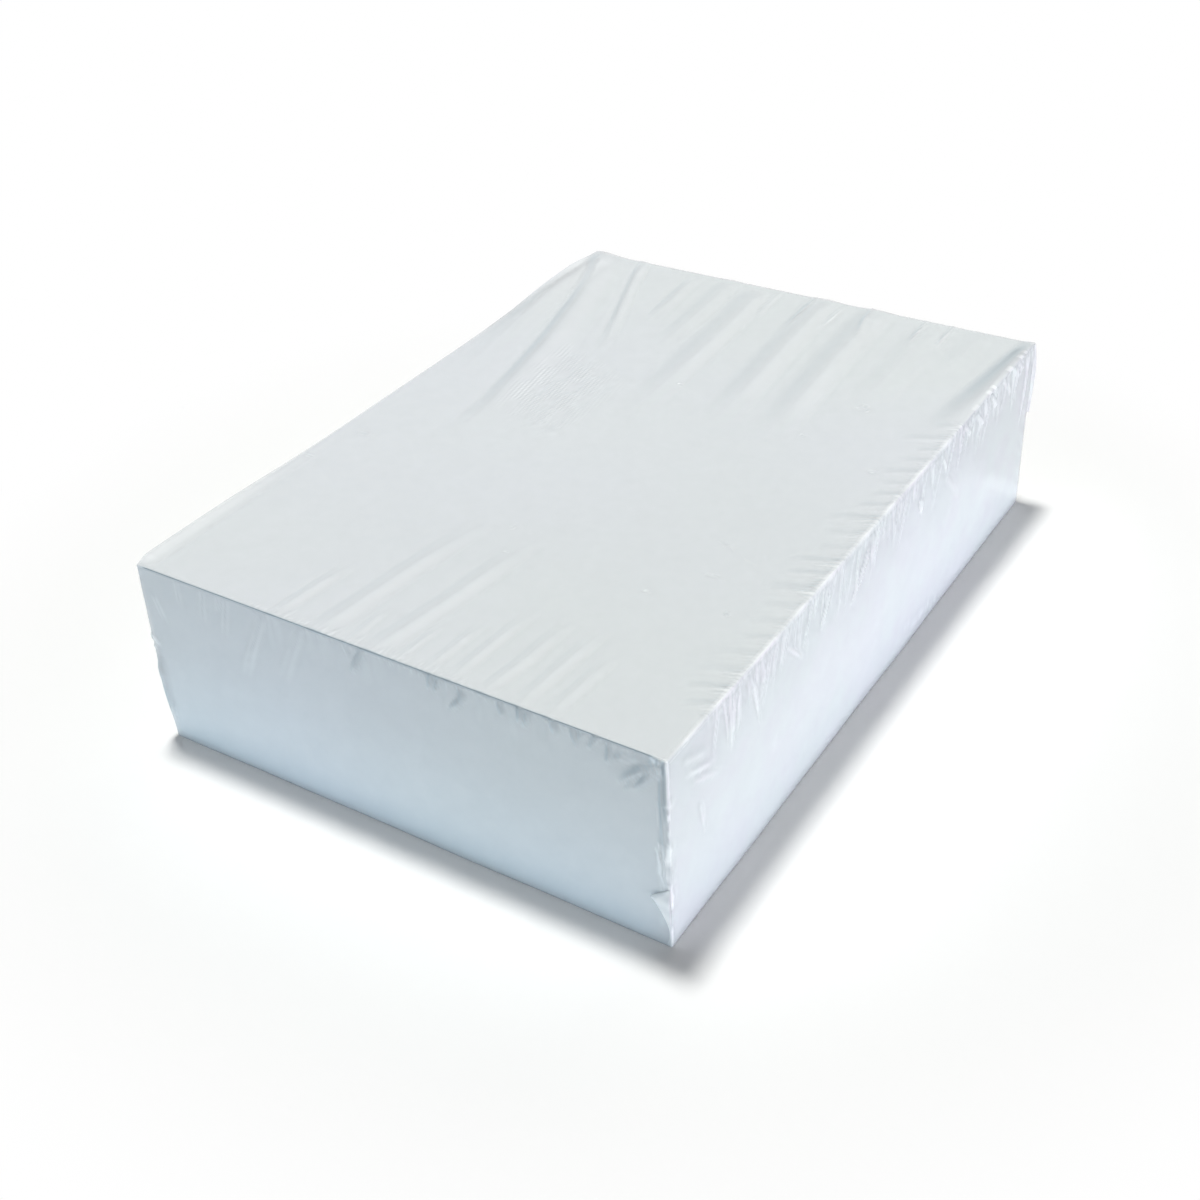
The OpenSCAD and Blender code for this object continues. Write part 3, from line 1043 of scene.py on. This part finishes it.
def film_material():
    """Clear film: mostly seen through, with soft reflections, and milky in its folds, where it shows the
    painted light and shade kept on the mesh.
    """
    made, tree = material("clear_film")
    places = object_places(tree)

    clear = add(tree, "BsdfTransparent", {"Color": FILM_CLEAR})
    gloss = add(tree, "BsdfGlossy", {"Roughness": FILM_GLOSS})
    weight = tree.nodes.new("ShaderNodeLayerWeight")
    fill(tree, weight, {"Blend": 0.5})
    steep = add(tree, "Math", {0: weight.outputs["Facing"], 1: MIRROR_POWER}, "POWER")
    glossy = mixed(tree, mapped(tree, steep, 0, 1, FILM_MIRROR, 1), clear, gloss)

    cloud = add(tree, "TexNoise", {"Vector": places, "Scale": CLOUD_SCALE, "Detail": 3})
    # The milky film's colour: the painted light and shade kept on the mesh, with lilac light painted in
    # clouds on the right side
    shade = ramp(tree, mapped(tree, attribute(tree, "painted_shading"), -1, 1), FILM_SHADE_COLOURS)
    # Only the right side gets the lilac painted light
    across = add(tree, "SeparateXYZ", {0: places})
    on_right = mapped(tree, across, RIGHT_FROM, RIGHT_FULL)
    colour = multiplied(tree, on_right, shade, ramp(tree, cloud, RIGHT_LIGHT_TINTS))
    haze = add(tree, "BsdfPrincipled", {"Base Color": colour, "Roughness": HAZE_ROUGHNESS})

    uneven = mapped(tree, cloud, 0.3, 0.7, 0.95, 1.05)
    amount = add(tree, "Math", {0: attribute(tree, "milk"), 1: uneven}, "MULTIPLY")
    add(tree, "OutputMaterial", {"Surface": mixed(tree, amount, glossy, haze)})
    return made


def paper_material():
    """White paper, a little warmer or cooler from place to place, with fine lines along its edges."""
    made, tree = material("white_paper")
    places = object_places(tree)
    cloud = add(tree, "TexNoise", {"Vector": places, "Scale": PAPER_CLOUD_SCALE, "Detail": 1})
    stretched = add(tree, "Mapping", {"Vector": places, "Scale": SHEET_LINES})
    lines = add(tree, "TexNoise", {"Vector": stretched, "Scale": 1, "Detail": 2})
    level = mapped(tree, lines, 0.3, 0.7, 0.97, 1.01)
    colour = add(tree, "VectorMath", {0: ramp(tree, cloud, PAPER_TINTS), "Scale": level}, "SCALE")
    paper = add(tree, "BsdfPrincipled", {"Base Color": colour, "Roughness": PAPER_ROUGHNESS})
    add(tree, "OutputMaterial", {"Surface": paper})
    return made


# The stage

FLOOR_SIZE = 6
FLOOR_Z = -0.00005
FLOOR_COLOUR = (0.985, 0.972, 0.962, 1)

# The floor glows this little up to the first distance from the ream, and fully from the second on
FLOOR_GLOW = 0.04
FLOOR_NEAR = 0.14
FLOOR_FAR = 0.22

WORLD_LIGHT = (0.13, 0.135, 0.14, 1)
WHITE = (1, 1, 1, 1)


def white_for_lens(tree):
    """1 for the camera, reflections and clear surfaces, else 0."""
    path = tree.nodes.new("ShaderNodeLightPath")
    seen = add(tree, "Math", {0: path.outputs["Is Camera Ray"], 1: path.outputs["Is Glossy Ray"]},
               "MAXIMUM")
    return add(tree, "Math", {0: seen, 1: path.outputs["Is Transmission Ray"]}, "MAXIMUM")


def floor():
    """A matt white floor that keeps the shadow, and is plain white to the lens away from it."""
    bm = bmesh.new()
    bmesh.ops.create_grid(bm, x_segments=1, y_segments=1, size=FLOOR_SIZE / 2 / MM)
    bmesh.ops.translate(bm, vec=(0, 0, FLOOR_Z / MM), verts=bm.verts)
    plane = mesh_object("floor", bm)
    made, tree = material("floor")
    matt = add(tree, "BsdfDiffuse", {"Color": FLOOR_COLOUR})
    white = add(tree, "Emission", {})
    away = tree.nodes.new("ShaderNodeVectorMath")
    away.operation = "LENGTH"
    fill(tree, away, {0: object_places(tree)})
    glow = mapped(tree, away.outputs["Value"], FLOOR_NEAR, FLOOR_FAR, FLOOR_GLOW, 1, "SMOOTHSTEP")
    share = add(tree, "Math", {0: white_for_lens(tree), 1: glow}, "MULTIPLY")
    add(tree, "OutputMaterial", {"Surface": mixed(tree, share, matt, white)})
    dress(plane, made)


def world():
    made = bpy.data.worlds.new("studio")
    bpy.context.scene.world = made
    made.use_nodes = True
    tree = made.node_tree
    tree.nodes.clear()
    light = add(tree, "Background", {"Color": WORLD_LIGHT})
    white = add(tree, "Background", {"Color": WHITE})
    add(tree, "OutputWorld", {"Surface": mixed(tree, white_for_lens(tree), light, white)})


def softbox(name, at, aim, width, height, power, colour):
    """A rectangular lamp, in metres and watts, that the camera doesn't see."""
    lamp = bpy.data.lights.new(name, "AREA")
    lamp.shape = "RECTANGLE"
    lamp.size = width
    lamp.size_y = height
    lamp.energy = power
    lamp.color = colour
    thing = bpy.data.objects.new(name, lamp)
    bpy.context.scene.collection.objects.link(thing)
    way = Vector(at) - Vector(aim)
    thing.visible_camera = False
    thing.matrix_world = Matrix.Translation(at) @ way.to_track_quat("Z", "Y").to_matrix().to_4x4()


def lamps():
    """Soft boxes over, beside and behind the ream."""
    middle = (0, 0, 0.03)
    softbox("overhead", (-0.17, 0.08, 1.5), middle, 0.18, 0.2, 18.5, (0.985, 1, 0.985))
    softbox("side", (1.45, -0.1, 0.05), middle, 0.8, 0.08, 10.6, (0.855, 0.91, 1.0))
    softbox("front", (-0.7, -1.45, 0.05), middle, 0.8, 0.08, 6.4, (0.61, 0.83, 1.0))
    softbox("back", (0.0, 1.15, 1.04), middle, 0.9, 0.5, 1, (1, 1, 1))


def low_lamps():
    """Two lamps on the floor that shine straight up, past the feet of the right and near sides."""
    side = (0.088, -0.035)
    front = (-0.014, -0.1195)
    low = 0.0002
    softbox("low_side", (*side, low), (*side, 1), 0.025, 0.3, 0.0128, (0.84, 0.91, 1.0))
    softbox("low_front", (*front, low), (*front, 1), 0.166, 0.025, 0.0048, (0.45, 0.77, 1.0))


# The camera, fitted to the photo's corners of the block: its place in short edges of a sheet, its turn
# and its lens

SHORT_EDGE = 0.148
CAMERA_AT = Vector((1.3549, -2.1198, 1.7836)) * SHORT_EDGE
CAMERA_RIGHT = Vector((0.8456, 0.5320, -0.0441))
CAMERA_DOWN = Vector((0.2751, -0.5051, -0.8180))
CAMERA_AHEAD = Vector((-0.4575, 0.6796, -0.5735))
LENS = 48.27
SENSOR = 36
CLIP_START = 0.01


def camera():
    eye = bpy.data.objects.new("camera", bpy.data.cameras.new("camera"))
    bpy.context.scene.collection.objects.link(eye)
    turn = Matrix((CAMERA_RIGHT, -CAMERA_DOWN, -CAMERA_AHEAD)).transposed().to_4x4()
    eye.matrix_world = Matrix.Translation(CAMERA_AT) @ turn
    eye.data.lens = LENS
    eye.data.sensor_width = SENSOR
    eye.data.clip_start = CLIP_START
    bpy.context.scene.camera = eye


camera()
world()
lamps()
low_lamps()
floor()

paper = sheet_stack()
dress(paper, paper_material())
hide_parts("paper_block")
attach(paper, "root")

clear_film = film_material()
film = film_skin()
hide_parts("shrink_film")
ear = flap("corner_ear", 14, 30, ear_place, EAR_HIGHLIGHT)
fin = flap("corner_fin", 6, 40, fin_place, FIN_HIGHLIGHT)
for piece in (film, ear, fin):
    dress(piece, clear_film)
    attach(piece, "root")

bpy.context.scene.view_settings.view_transform = "Standard"
